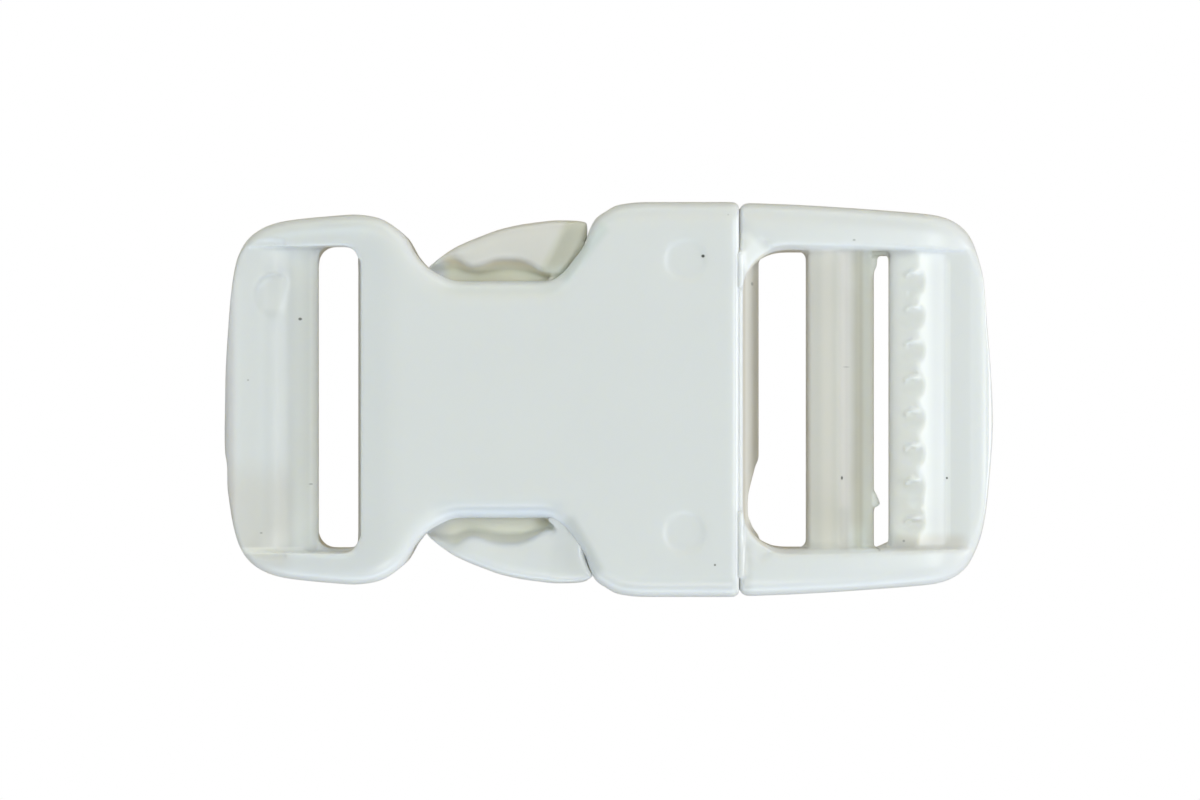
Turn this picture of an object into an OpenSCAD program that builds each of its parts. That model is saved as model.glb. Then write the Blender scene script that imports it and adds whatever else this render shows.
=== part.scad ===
// Side release buckle, fastened: a socket and a plug, each moulded in one piece.
// X runs along the webbing, Y across it and Z up. The origin is on the surface under its middle.

/* [Webbing] */
// Width of the webbing that both ends take
web_w = 25; // [22:0.5:27]
// Room that a web slot leaves beside the webbing, both sides together
slot_play = 1.4; // [0.8:0.1:1.8]
// Width of the socket's web slot along X
slot_l = 3.7; // [3.2:0.05:4.2]
// Rounding of the socket's web slot in its corners
slot_r = 1.3; // [0.8:0.1:1.6]

/* [Socket] */
// Length of the socket from its loop end to its mouth
socket_l = 44.5; // [43.8:0.05:47]
// Width over the socket's mouth
mouth_w = 34; // [33:0.1:37]
// Thickness of the socket's body
body_t = 10.4; // [9.8:0.1:12]
// Width of the plates between the finger pads
waist_w = 20.4; // [18:0.1:21.5]
// Width of each rail beside the socket's web slot
loop_rail_w = 2.75; // [2.3:0.05:3.4]
// Length of the socket's web bar along X, from the loop end to the slot
bar_l = 8.1; // [6.5:0.1:9]
// Thickness of the socket's web bar
bar_t = 5.8; // [5.2:0.1:6.2]
// Thickness of the plates over and under the chamber
plate_t = 1.7; // [1.3:0.1:2.1]
// Thickness of the side walls at the mouth
wall_t = 1.9; // [1.4:0.1:2.3]
// Rounding of the socket's outer edges
edge_r = 1.5; // [0.8:0.1:2]
// Distance from the mouth back to the latch edges of the side walls
latch_l = 12.7; // [12:0.1:13.6]
// Inward step of the side walls at their latch edges, from the outside of the mouth
latch_in = 3.9; // [3.3:0.1:4.4]
// Gap between the arms' tips and the end wall of the chamber
tip_gap = 0.55; // [0.3:0.05:1]

/* [Plug] */
// Length of the plug's frame, outside the socket
frame_l = 22.05; // [21:0.05:24]
// Gap between the mouth and the plug's frame
seam = 0.2; // [0.15:0.05:0.5]
// Clearance of the plug's block in the socket's chamber
fit = 0.3; // [0.2:0.05:0.5]
// Clearance between a catch face and its latch edge
catch_gap = 0.35; // [0.25:0.05:0.6]
// Room in Y beside the webbing in the plug's frame, both sides together
frame_play = 0.8; // [0.4:0.1:1.2]
// Reach of the plug's block into the socket's chamber
block_l = 3.2; // [2:0.1:4]
// Foot of the leaning bar at the seam, measured along X from the frame's start
lean_l = 1.65; // [1.2:0.05:1.8]
// Distance from the frame's start to the middle bar
first_slot_l = 5.8; // [5.5:0.05:6.3]
// Length of the middle bar along X
mid_bar_l = 5.95; // [5.4:0.05:6.4]
// Thickness of the middle bar
mid_bar_t = 6.2; // [5:0.1:6.8]
// Width of the narrow slot beside the middle bar
second_slot_l = 1.2; // [1:0.05:1.8]
// Length of the toothed bar along X
outer_bar_l = 4.8; // [4.4:0.1:5.6]
// Thickness of the toothed bar at its crest
outer_bar_t = 5.4; // [4.6:0.1:6]
// Rounding of the first opening's corners beside the seam
gusset_r = 3.9; // [2.5:0.1:4.2]
// Rounding of the other corners between the rails
corner_r = 0.9; // [0.6:0.1:1.2]
// Number of grip pockets in the toothed bar
pockets = 8; // [6:1:8]
// Distance between two grip pockets
pocket_pitch = 2.96; // [2.7:0.02:3]
// Radius of a grip pocket
pocket_r = 1.7; // [1.4:0.05:2]
// Depth of a grip pocket at the crest of its bar
pocket_d = 0.46; // [0.36:0.02:0.56]

/* [Arms] */
// Length of an arm from the block to its tip
arm_l = 25.9; // [25.3:0.1:26.3]
// Width over the two finger pads as the upper one stands
pad_w = 30.9; // [30.6:0.02:32.1]
// Thickness of a finger pad
pad_t = 8.8; // [8.2:0.1:9.4]
// Thickness of an arm where it lies between the plates
beam_t = 4.6; // [4:0.1:5.4]
// Gap between a finger pad and the plates' edges
pad_gap = 0.35; // [0.25:0.05:0.6]
// Clearance of the pads' falling ends under the plates
under_gap = 0.35; // [0.25:0.05:0.6]
// Rounding of a finger pad's edges
pad_r = 0.9; // [0.5:0.1:1.2]
// How far the arm on the -Y side stands out beyond the other one, as shown
low_arm_out = 0.4; // [0:0.05:0.45]
// Length of the guide tongue between the arms
tongue_l = 18; // [12:0.5:21]
// Width of the guide tongue at its root
tongue_w = 4; // [3:0.1:5]

/* [Hidden] */
$fn = 48;
// Steps in each rounded corner of a section, and sections drawn for each row of a table
STEPS = 4;
FINE = 2;

// A latch edge leans: this far along X, over this far along Y
latch_lean = 0.7;
latch_rise = 1.4;
// Length along X of the thick jamb behind a latch edge
jamb_l = 2;
// The side walls are thicker by this, this far in from the mouth
mouth_narrow = 0.4;
mouth_run = 4;
// Bow of the chamber's end wall
end_bow = 0.6;
// How far the arms and the frame's bars run on into what carries them
arm_root = 1.4;
bar_root = 0.2;
block_root = 0.3;
// Gap left round the seam's bar at the top, and the width of its flat top
seam_lip = 0.1;
lean_top = 0.06;
// Taper at the tongue's tip, and the rounding of the arms between the plates
tongue_tip = 0.6;
beam_r = 0.5;
// Where a pad's end starts to fall: back from the latch edge and in from its outer side
fall_back = 2.4;
fall_in = 0.87;
// Length over which a pad's end falls, from its raised face to the plates' edge, and its heading
fall_run = 2.1;
fall_turn = 26;
// Length of a grip pocket, its start from the crest, how far its floor leans from the bar's slope,
// and the shift of the whole row along Y
pocket_l = 2.6;
pocket_back = 1.9;
pocket_lean = 12;
pocket_shift = 0.1;
// Rounding of a pad's edge over its scooped side, that side's greatest lean and its share of the
// scoop, and how deep its foot lies in the arm
inner_r = 0.35;
riser_lean = 1;
riser_share = 0.7;
riser_foot = 0.3;
// Rounding of the web bar's corners in the slot, and of the middle bar's in the first opening
bar_corner_r = 1.1;
mid_corner_r = 0.7;
// How far a cutting shape runs past what it cuts
past = 3;

total_l = socket_l + seam + frame_l;
loop_x = -total_l / 2;
mouth_x = loop_x + socket_l;
frame_x = mouth_x + seam;
mid_z = body_t / 2;

slot_half = (web_w + slot_play) / 2;
frame_half = (web_w + frame_play) / 2;
loop_half = slot_half + loop_rail_w;
waist_half = waist_w / 2;
mouth_half = mouth_w / 2;
pad_half = pad_w / 2;

slot_x = loop_x + bar_l;
base_x = mouth_x - block_l + arm_root;
tip_x = base_x - arm_l;
chamber_x = tip_x - tip_gap;
chamber_t = body_t - 2 * plate_t;
chamber_half = mouth_half - wall_t;
latch_x = mouth_x - latch_l;
latch_half = mouth_half - latch_in;

mid_bar_x = frame_x + first_slot_l;
outer_bar_x = mid_bar_x + mid_bar_l + second_slot_l;
// Heights of the toothed bar's crest and of the rim beside it, and the slope up to the crest
crest_z = 0.76 * body_t;
rim_z = crest_z - 0.13 * outer_bar_t;
slope_turn = atan2(0.25 * outer_bar_t, 0.37 * outer_bar_l);
pad_fall = atan2((pad_t - chamber_t) / 2 + under_gap, fall_run);

// Sections of the socket along X. Columns: AT, which runs from 0 at the loop end to 1 at the
// chamber's end wall, 2 at the latch edges and 3 at the mouth; then the shares of the waist's, the
// loop's and the mouth's half-width that add up to the section's half-width; then its underside,
// its top and its rounding as shares of body_t and edge_r.
AT = 0;
WAIST = 1;
LOOP = 2;
MOUTH = 3;
LOW = 4;
TOP = 5;
ROUND = 6;
SOCKET = [
    [0.000, 0, 0.16, 0, 0.36, 0.60, 0.5],
    [0.005, 0, 0.27, 0, 0.31, 0.65, 0.6],
    [0.015, 0, 0.435, 0, 0.24, 0.705, 0.8],
    [0.034, 0, 0.59, 0, 0.195, 0.742, 1],
    [0.052, 0, 0.69, 0, 0.17, 0.76, 1],
    [0.069, 0, 0.755, 0, 0.16, 0.769, 1],
    [0.090, 0, 0.809, 0, 0.15, 0.778, 1],
    [0.128, 0, 0.868, 0, 0.138, 0.793, 1],
    [0.190, 0, 0.919, 0, 0.125, 0.811, 1],
    [0.278, 0, 0.956, 0, 0.11, 0.835, 1],
    [0.384, 0, 0.975, 0, 0.09, 0.865, 1],
    [0.599, 0, 0.994, 0, 0.05, 0.93, 1],
    [0.708, 0, 1.000, 0, 0.03, 0.96, 1],
    [0.816, 0.043, 0.957, 0, 0.012, 0.985, 1],
    [0.866, 0.096, 0.904, 0, 0.005, 0.995, 1],
    [0.922, 0.20, 0.80, 0, 0, 1, 1],
    [0.978, 0.339, 0.661, 0, 0, 1, 1],
    [1.029, 0.583, 0.417, 0, 0, 1, 1],
    [1.096, 0.791, 0.209, 0, 0, 1, 1],
    [1.190, 0.939, 0.061, 0, 0, 1, 1],
    [1.273, 1, 0, 0, 0, 1, 1],
    [1.743, 1, 0, 0, 0, 1, 1],
    [1.826, 0.926, 0, 0.074, 0, 1, 1],
    [1.910, 0.706, 0, 0.294, 0, 1, 1],
    [1.968, 0.515, 0, 0.485, 0, 1, 1],
    [1.987, 0.368, 0, 0.632, 0, 1, 1],
    [2.031, 0.206, 0, 0.794, 0, 1, 1],
    [2.100, 0.118, 0, 0.882, 0, 1, 1],
    [2.169, 0.044, 0, 0.956, 0, 1, 1],
    [2.231, 0.022, 0, 0.978, 0, 1, 1],
    [2.362, 0, 0, 1, 0, 1, 1],
    [2.955, 0, 0, 1, 0, 1, 1],
    [2.986, 0, 0, 0.992, 0.012, 0.988, 0.8],
    [3.000, 0, 0, 0.978, 0.036, 0.964, 0.6]
];

// Sections of the plug's frame along X. Columns: the share of frame_l, the share of the mouth's
// half-width, the underside and the top as shares of body_t, and the share of edge_r.
F_HALF = 1;
F_LOW = 2;
F_TOP = 3;
F_ROUND = 4;
FRAME = [
    [0.000, 0.975, 0.065, 0.935, 0.6],
    [0.008, 0.988, 0.052, 0.948, 0.8],
    [0.030, 0.996, 0.045, 0.955, 1],
    [0.207, 0.988, 0.05, 0.945, 1],
    [0.407, 0.9735, 0.075, 0.92, 1],
    [0.607, 0.956, 0.11, 0.875, 1],
    [0.728, 0.943, 0.14, 0.84, 1],
    [0.768, 0.936, 0.15, 0.82, 1],
    [0.807, 0.923, 0.162, 0.793, 1],
    [0.840, 0.905, 0.172, 0.763, 1],
    [0.883, 0.865, 0.183, 0.715, 1],
    [0.905, 0.828, 0.19, 0.691, 1],
    [0.926, 0.772, 0.20, 0.688, 1],
    [0.943, 0.716, 0.207, 0.685, 1],
    [0.958, 0.638, 0.215, 0.68, 1],
    [0.970, 0.53, 0.23, 0.672, 0.9],
    [0.980, 0.39, 0.25, 0.66, 0.8],
    [0.990, 0.24, 0.29, 0.635, 0.7],
    [1.000, 0.10, 0.36, 0.59, 0.5]
];

// Sections of an arm's beam. Columns: AT, which runs from 0 at the block to 1 at the latch edge
// and 2 at the arm's tip; the inner and the outer side as shares of the latch edges' half-width;
// and the share of beam_t.
A_IN = 1;
A_OUT = 2;
A_T = 3;
BEAM = [
    [0.000, 0.886, 1.09, 1],
    [0.328, 0.878, 1.06, 1],
    [0.679, 0.84, 0.99, 1],
    [0.947, 0.779, 0.94, 1],
    [1.039, 0.748, 0.94, 1],
    [1.226, 0.687, 0.98, 1],
    [1.493, 0.672, 0.98, 1],
    [1.760, 0.679, 0.92, 1],
    [1.927, 0.702, 0.87, 1],
    [2.000, 0.740, 0.81, 0.9]
];

// Sections of a finger pad. Columns: AT as for the beam; the inner side as a share of the way from
// the plates' edge to the pads' half-width; the outer side as a share of the pads' half-width; and
// the thickness as a share of the way from beam_t to pad_t.
P_IN = 1;
P_OUT = 2;
P_T = 3;
PAD = [
    [0.970, 0.14, 0.975, 1],
    [1.020, 0.12, 0.987, 1],
    [1.086, 0.10, 0.998, 1],
    [1.201, 0.08, 1.000, 1],
    [1.251, 0.07, 0.996, 1],
    [1.291, 0.10, 0.991, 1],
    [1.348, 0.212, 0.984, 1],
    [1.405, 0.283, 0.976, 1],
    [1.463, 0.305, 0.964, 1],
    [1.520, 0.305, 0.951, 1],
    [1.577, 0.273, 0.932, 1],
    [1.635, 0.202, 0.910, 1],
    [1.691, 0.176, 0.889, 1],
    [1.737, 0.245, 0.869, 1],
    [1.778, 0.315, 0.850, 0.93],
    [1.833, 0.300, 0.817, 0.66],
    [1.893, 0.180, 0.775, 0.33],
    [1.940, 0.100, 0.738, 0.07]
];

// Slope of a column at row i, level where the column turns, so that no curve overshoots its rows
function slope(t, i, c) =
    i == 0 || i == len(t) - 1 ? 0
    : let (a = t[i][c] - t[i - 1][c], b = t[i + 1][c] - t[i][c])
    a * b <= 0 ? 0 : 2 * a * b / (a + b);

// A table with smooth rows added between its own
function smooth_rows(t) = [
    for (i = [0:len(t) - 2], k = [0:FINE - 1])
        let (u = k / FINE, v = 1 - u)
        [
            for (c = [0:len(t[0]) - 1])
                v * v * (1 + 2 * u) * t[i][c] + u * u * (3 - 2 * u) * t[i + 1][c]
                + u * v * (v * slope(t, i, c) - u * slope(t, i + 1, c))
        ],
    t[len(t) - 1]
];

// The place along X of a socket section, from its AT
function socket_x(at) =
    at <= 1 ? loop_x + at * (chamber_x - loop_x)
    : at <= 2 ? chamber_x + (at - 1) * (latch_x - chamber_x)
    : latch_x + (at - 2) * latch_l;

// The place along X of a section of an arm, from its AT
function arm_x(at) =
    at <= 1 ? base_x - at * (base_x - latch_x) : latch_x - (at - 1) * (latch_x - tip_x);

// One rounded rectangle across X, from y0 to y1 and z0 to z1, counter-clockwise seen from +X
function ring(x, y0, y1, z0, z1, round) =
    let (r = min(round, 0.49 * (z1 - z0), 0.49 * (y1 - y0)))
    let (corners = [[y1 - r, z0 + r, -90], [y1 - r, z1 - r, 0], [y0 + r, z1 - r, 90], [y0 + r, z0 + r, 180]])
    [
        for (c = corners, i = [0:STEPS])
            let (a = c[2] + 90 * i / STEPS)
            [x, c[0] + r * cos(a), c[1] + r * sin(a)]
    ];

// A closed skin through rings that follow each other along +X
module loft(rings) {
    n = len(rings[0]);
    last = len(rings) - 1;
    sides = [
        for (i = [0:last - 1], j = [0:n - 1])
            let (k = (j + 1) % n, a = i * n, b = a + n)
            each [[a + j, b + j, b + k], [a + j, b + k, a + k]]
    ];
    first_cap = [for (j = [0:n - 1]) j];
    last_cap = [for (j = [n - 1:-1:0]) last * n + j];
    polyhedron(points = [for (r = rings) each r], faces = concat([first_cap], sides, [last_cap]), convexity = 8);
}

// Plan of a slot: from x0 to x1, and to y on both sides, with its own rounding at either end
module slot_plan(x0, x1, y, r0, r1) {
    union() {
        for (side = [-1, 1]) {
            translate([x0 + r0, side * (y - r0)]) circle(r0);
            translate([x1 - r1, side * (y - r1)]) circle(r1);
        }
        polygon([
            [x0, r0 - y], [x0 + r0, -y], [x1 - r1, -y], [x1, r1 - y],
            [x1, y - r1], [x1 - r1, y], [x0 + r0, y], [x0, y - r0]
        ]);
    }
}

// A bar across the webbing: its outline in X and Z, drawn along Y to both sides
module cross_bar(outline, half) {
    translate([0, half, 0]) rotate([90, 0, 0]) linear_extrude(2 * half) polygon(outline);
}

// Fillets where a bar's edge at x meets the rails, on the side of a slot that side points to
module corner_fillets(x, side, half, r, z0, z1) {
    for (turn = [0, 1])
        mirror([0, turn, 0])
            translate([x, half, z0]) linear_extrude(z1 - z0) difference() {
                translate([side > 0 ? -bar_root : -r, -r]) square(r + bar_root);
                translate([side * r, -r]) circle(r);
            }
}

module through() {
    translate([0, 0, -past]) linear_extrude(body_t + 2 * past) children();
}

module socket_body() {
    loft([
        for (s = smooth_rows(SOCKET))
            let (half = s[WAIST] * waist_half + s[LOOP] * loop_half + s[MOUTH] * mouth_half)
            ring(socket_x(s[AT]), -half, half, s[LOW] * body_t, s[TOP] * body_t, s[ROUND] * edge_r)
    ]);
}

// The chamber that takes the plug. It is open at the mouth, and at both sides between the loop
// and the latch edges, where the finger pads stand out.
module chamber() {
    out = mouth_half + past;
    jamb_x = latch_x - latch_lean + jamb_l;
    side = [
        [chamber_x - end_bow, 0],
        [chamber_x - end_bow, 0.6 * waist_half],
        [chamber_x, 1.15 * waist_half],
        [chamber_x + end_bow, out],
        [latch_x, out],
        [latch_x, latch_half + latch_rise],
        [latch_x - latch_lean, latch_half],
        [jamb_x, latch_half],
        [mouth_x - mouth_run, chamber_half - mouth_narrow],
        [mouth_x, chamber_half],
        [mouth_x + past, chamber_half]
    ];
    other = [for (i = [len(side) - 1:-1:0]) [side[i][0], -side[i][1]]];
    translate([0, 0, plate_t]) linear_extrude(chamber_t) polygon(concat(side, other));
}

// Outline in X and Z of the socket's web bar, flattened, and falling toward the slot
function web_bar() =
    let (h = bar_t / 2, x = loop_x, l = bar_l, z = 0.475 * body_t)
    [
        [x + 0.1 * l, z + 0.96 * h], [x + 0.2 * l, z + h], [x + 0.39 * l, z + 0.97 * h],
        [x + 0.56 * l, z + 0.86 * h], [x + 0.71 * l, z + 0.69 * h], [x + 0.84 * l, z + 0.45 * h],
        [x + 0.95 * l, z + 0.16 * h], [slot_x, z - 0.08 * h], [slot_x, z - 0.28 * h],
        [x + 0.94 * l, z - 0.56 * h], [x + 0.83 * l, z - 0.8 * h], [x + 0.66 * l, z - 0.96 * h],
        [x + 0.45 * l, z - h], [x + 0.1 * l, z - h]
    ];

module socket() {
    color("whitesmoke") union() {
        difference() {
            socket_body();
            through() slot_plan(loop_x + 0.15 * bar_l, slot_x + slot_l, slot_half, slot_r, slot_r);
            chamber();
        }
        intersection() {
            cross_bar(web_bar(), slot_half + bar_root);
            socket_body();
        }
        corner_fillets(slot_x, 1, slot_half, bar_corner_r, 0.475 * body_t - 0.25 * bar_t, 0.475 * body_t);
    }
}

module frame_body() {
    loft([
        for (s = smooth_rows(FRAME))
            let (half = s[F_HALF] * mouth_half)
            ring(frame_x + s[AT] * frame_l, -half, half, s[F_LOW] * body_t, s[F_TOP] * body_t, s[F_ROUND] * edge_r)
    ]);
}

// Outline of the bar at the seam, whose outer face leans out under the first opening
function lean_bar() =
    [
        [frame_x, 0.915 * body_t], [frame_x + lean_top, 0.915 * body_t],
        [frame_x + lean_l, 0.47 * body_t], [frame_x + lean_l, 0.35 * body_t],
        [frame_x + 0.6 * lean_l, 0.12 * body_t], [frame_x + 0.3 * lean_l, 0.085 * body_t],
        [frame_x, 0.085 * body_t]
    ];

// Outline of the middle bar: flat toward the seam, then falling steeply to the narrow slot
function mid_bar() =
    let (l = mid_bar_l, t = mid_bar_t, x = mid_bar_x, z = 0.79 * body_t)
    [
        [x, z - 0.16 * t], [x + 0.03 * l, z - 0.06 * t], [x + 0.11 * l, z],
        [x + 0.46 * l, z - 0.01 * t], [x + 0.52 * l, z - 0.05 * t], [x + 0.94 * l, z - 0.62 * t],
        [x + l, z - 0.72 * t], [x + 0.99 * l, z - 0.84 * t], [x + 0.86 * l, z - 0.93 * t],
        [x + 0.2 * l, z - t], [x + 0.05 * l, z - 0.95 * t], [x, z - 0.83 * t]
    ];

// Outline of the toothed bar: a slope that rises to a crest, then a lower rim toward the end
function toothed_bar() =
    let (l = outer_bar_l, t = outer_bar_t, x = outer_bar_x, z = crest_z)
    [
        [x, z - 0.5 * t], [x, z - 0.36 * t], [x + 0.05 * l, z - 0.28 * t],
        [x + 0.42 * l, z - 0.03 * t], [x + 0.47 * l, z], [x + 0.51 * l, z - 0.004 * t],
        [x + 0.95 * l, z - 0.125 * t], [x + l, rim_z], [x + l, z - t], [x + 0.5 * l, z - t],
        [x + 0.12 * l, z - 0.85 * t], [x, z - 0.7 * t]
    ];

// Round grooves up the slope of the toothed bar, deepest at its crest, with a tooth between each pair
module grip_pockets() {
    slope_x = outer_bar_x + 0.42 * outer_bar_l;
    slope_z = crest_z - 0.03 * outer_bar_t;
    for (i = [0:pockets - 1])
        translate([slope_x, (i - (pockets - 1) / 2) * pocket_pitch - pocket_shift, slope_z])
            rotate([0, 90 - slope_turn + pocket_lean, 0])
                translate([pocket_d - pocket_r, 0, -pocket_back])
                    cylinder(r = pocket_r, h = pocket_l, $fn = 36);
}

module frame() {
    end_x = outer_bar_x + 0.9 * outer_bar_l;
    difference() {
        frame_body();
        through() slot_plan(frame_x + seam_lip, mid_bar_x + 0.25 * mid_bar_l, frame_half, gusset_r, corner_r);
        through() slot_plan(mid_bar_x, end_x, frame_half, corner_r, corner_r);
        translate([outer_bar_x, -frame_half, rim_z])
            cube([frame_x + 0.91 * frame_l - outer_bar_x, 2 * frame_half, body_t]);
    }
    cross_bar(lean_bar(), frame_half + bar_root);
    cross_bar(mid_bar(), frame_half + bar_root);
    corner_fillets(mid_bar_x, -1, frame_half, mid_corner_r, 0.79 * body_t - 0.8 * mid_bar_t,
        0.79 * body_t - 0.2 * mid_bar_t);
    difference() {
        cross_bar(toothed_bar(), frame_half + bar_root);
        grip_pockets();
    }
}

// The block in the mouth, and the tongue that guides the plug between the arms
module block() {
    half = chamber_half - mouth_narrow - fit;
    t = chamber_t - 2 * fit;
    x = mouth_x - block_l;
    translate([x, -half, mid_z - t / 2]) cube([frame_x + block_root - x, 2 * half, t]);
    translate([x + block_root, 0, mid_z - beam_t / 2]) linear_extrude(beam_t) polygon([
        [0, -tongue_w / 2], [0, tongue_w / 2],
        [tongue_tip - tongue_l, 0.36 * tongue_w], [-tongue_l, 0.2 * tongue_w],
        [-tongue_l, -0.2 * tongue_w], [tongue_tip - tongue_l, -0.36 * tongue_w]
    ]);
}

// How far an arm stands out at a section, when its pad stands out by shift
function spread(at, shift) = shift * min(at, 1);

module beam(shift) {
    rows = smooth_rows(BEAM);
    loft([
        for (i = [len(rows) - 1:-1:0])
            let (s = rows[i], h = s[A_T] * beam_t / 2, out = spread(s[AT], shift))
            ring(arm_x(s[AT]), s[A_IN] * latch_half + out, s[A_OUT] * latch_half + out,
                mid_z - h, mid_z + h, beam_r)
    ]);
}

// One section of a finger pad: its inner side spreads toward the arm by lean, to half the height f
function pad_ring(x, y0, y1, h, lean, f) =
    let (r = min(pad_r, 0.49 * (y1 - y0)), e = min(inner_r, 0.49 * (y1 - y0)))
    [
        for (i = [0:STEPS]) let (a = 90 * i / STEPS - 90) [x, y1 - r + r * cos(a), mid_z - h + r + r * sin(a)],
        for (i = [0:STEPS]) let (a = 90 * i / STEPS) [x, y1 - r + r * cos(a), mid_z + h - r + r * sin(a)],
        [x, y0 + e, mid_z + h], [x, y0, mid_z + h - e], [x, y0 - lean, mid_z + f],
        [x, y0 - lean, mid_z - f], [x, y0, mid_z - h + e], [x, y0 + e, mid_z - h]
    ];

// The finger pad: thicker than the chamber, with a scooped inner side beside the plates
module pad(shift) {
    start = waist_half + pad_gap;
    rows = smooth_rows(PAD);
    difference() {
        loft([
            for (i = [len(rows) - 1:-1:0])
                let (s = rows[i], h = (beam_t + s[P_T] * (pad_t - beam_t)) / 2)
                let (scoop = s[P_IN] * (pad_half - start))
                pad_ring(arm_x(s[AT]), start + scoop + min(scoop, shift), s[P_OUT] * pad_half + shift, h,
                    min(riser_lean, riser_share * scoop), min(beam_t / 2, h - inner_r) - riser_foot)
        ]);
        catch_cut();
        for (turn = [0, 1])
            translate([0, 0, mid_z]) mirror([0, 0, turn]) fall_cut();
    }
}

// What the catch face leaves free in front of the latch edge
module catch_cut() {
    x = latch_x - catch_gap;
    y = latch_half - catch_gap;
    through() polygon([
        [x, pad_half + past], [x, y + latch_rise], [x - latch_lean, y], [mouth_x, y],
        [mouth_x, pad_half + past]
    ]);
}

// The end of the pad falls toward the mouth, so that it passes under the plates
module fall_cut() {
    translate([latch_x - fall_back, pad_half - fall_in, pad_t / 2])
        rotate([0, 0, -fall_turn])
            rotate([0, pad_fall, 0])
                translate([0, -2 * body_t, 0])
                    cube([latch_l, 4 * body_t, body_t]);
}

module arm(shift) {
    beam(shift);
    pad(shift);
}

module plug() {
    color("white") union() {
        frame();
        block();
        arm(0);
        mirror([0, 1, 0]) arm(low_arm_out);
    }
}

socket();
plug();
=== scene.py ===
# Side release buckle in white acetal, fastened and lying flat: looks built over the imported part
import bpy
import math
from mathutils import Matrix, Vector


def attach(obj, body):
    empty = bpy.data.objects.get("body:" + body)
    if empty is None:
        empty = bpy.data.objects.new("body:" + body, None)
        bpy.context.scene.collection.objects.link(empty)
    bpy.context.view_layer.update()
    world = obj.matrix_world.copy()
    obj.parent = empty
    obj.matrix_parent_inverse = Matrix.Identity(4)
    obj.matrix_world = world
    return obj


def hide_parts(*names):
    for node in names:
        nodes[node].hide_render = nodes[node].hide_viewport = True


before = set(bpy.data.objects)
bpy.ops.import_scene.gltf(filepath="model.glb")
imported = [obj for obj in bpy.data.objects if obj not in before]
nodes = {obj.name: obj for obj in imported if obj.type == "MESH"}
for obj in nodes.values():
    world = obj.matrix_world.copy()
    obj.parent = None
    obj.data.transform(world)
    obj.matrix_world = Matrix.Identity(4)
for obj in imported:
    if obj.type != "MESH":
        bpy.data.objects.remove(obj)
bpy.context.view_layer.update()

coarser = 1
shorter = 1
under, over, away = -1, 12, 35  # heights and a length past the buckle's own, for cutters


def mm(*values):  # millimetres to Blender's metres
    scaled = tuple(value * 0.001 for value in values)
    return scaled if len(scaled) > 1 else scaled[0]


# Small tools for working on one mesh at a time

def deselectAll():  # an operator acts on all that is selected
    bpy.ops.object.select_all(action="DESELECT")


def soloSelect(thing):
    if bpy.context.object and bpy.context.object.mode != "OBJECT":
        bpy.ops.object.mode_set(mode="OBJECT")
    deselectAll()
    thing.select_set(True)
    bpy.context.view_layer.objects.active = thing


def applyPlace(thing):
    soloSelect(thing)
    bpy.ops.object.transform_apply(location=True, rotation=True, scale=True)


def mergedCopy(nodeName, pieceName):  # the CAD node stays as it is, its copy is welded and worked on
    piece = bpy.data.objects.new(pieceName, nodes[nodeName].data.copy())
    bpy.context.scene.collection.objects.link(piece)
    piece.data.name = pieceName
    piece.data.materials.clear()
    soloSelect(piece)
    bpy.ops.object.mode_set(mode="EDIT")
    bpy.ops.mesh.select_all(action="SELECT")
    bpy.ops.mesh.remove_doubles(threshold=mm(0.0005))
    bpy.ops.object.mode_set(mode="OBJECT")
    return piece


def applyAll(piece):
    soloSelect(piece)
    for modifier in list(piece.modifiers):
        bpy.ops.object.modifier_apply(modifier=modifier.name)


def combine(piece, tool, how):  # how is DIFFERENCE or UNION
    cut = piece.modifiers.new("combine", "BOOLEAN")
    cut.operation = how
    cut.solver = "EXACT"
    cut.object = tool
    applyAll(piece)
    bpy.data.objects.remove(tool)


def selectParts(thing, kind, wanted):  # kind is VERT, EDGE or FACE, and the thing is left in edit mode
    soloSelect(thing)
    bpy.ops.object.mode_set(mode="EDIT")
    bpy.ops.mesh.select_mode(type=kind)
    bpy.ops.mesh.select_all(action="DESELECT")
    bpy.ops.object.mode_set(mode="OBJECT")
    mesh = thing.data
    for part in {"VERT": mesh.vertices, "EDGE": mesh.edges, "FACE": mesh.polygons}[kind]:
        part.select = wanted(part)
    bpy.ops.object.mode_set(mode="EDIT")


def roundedPuck(foot, radius, height, soft, slant=(0, 0, 0)):  # a disc with soft rims, standing on its foot
    deselectAll()
    bpy.ops.mesh.primitive_cylinder_add(vertices=56, radius=mm(radius), depth=mm(height),
                                        location=mm(0, 0, height / 2))
    puck = bpy.context.object
    applyPlace(puck)
    selectParts(puck, "FACE", lambda face: abs(face.normal.z) > 0.9)
    bpy.ops.mesh.bevel(offset=mm(soft), segments=3, affect="EDGES")
    bpy.ops.object.mode_set(mode="OBJECT")
    puck.rotation_euler = [math.radians(turn) for turn in slant]
    puck.location = mm(*foot)
    applyPlace(puck)
    return puck


def pebble(centre, sizes, turn=0):  # a drop of plastic, such as a flash nub
    deselectAll()
    bpy.ops.mesh.primitive_uv_sphere_add(segments=20, ring_count=12, radius=mm(1), location=mm(*centre),
                                         scale=sizes, rotation=(0, 0, math.radians(turn)))
    drop = bpy.context.object
    applyPlace(drop)
    return drop


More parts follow.
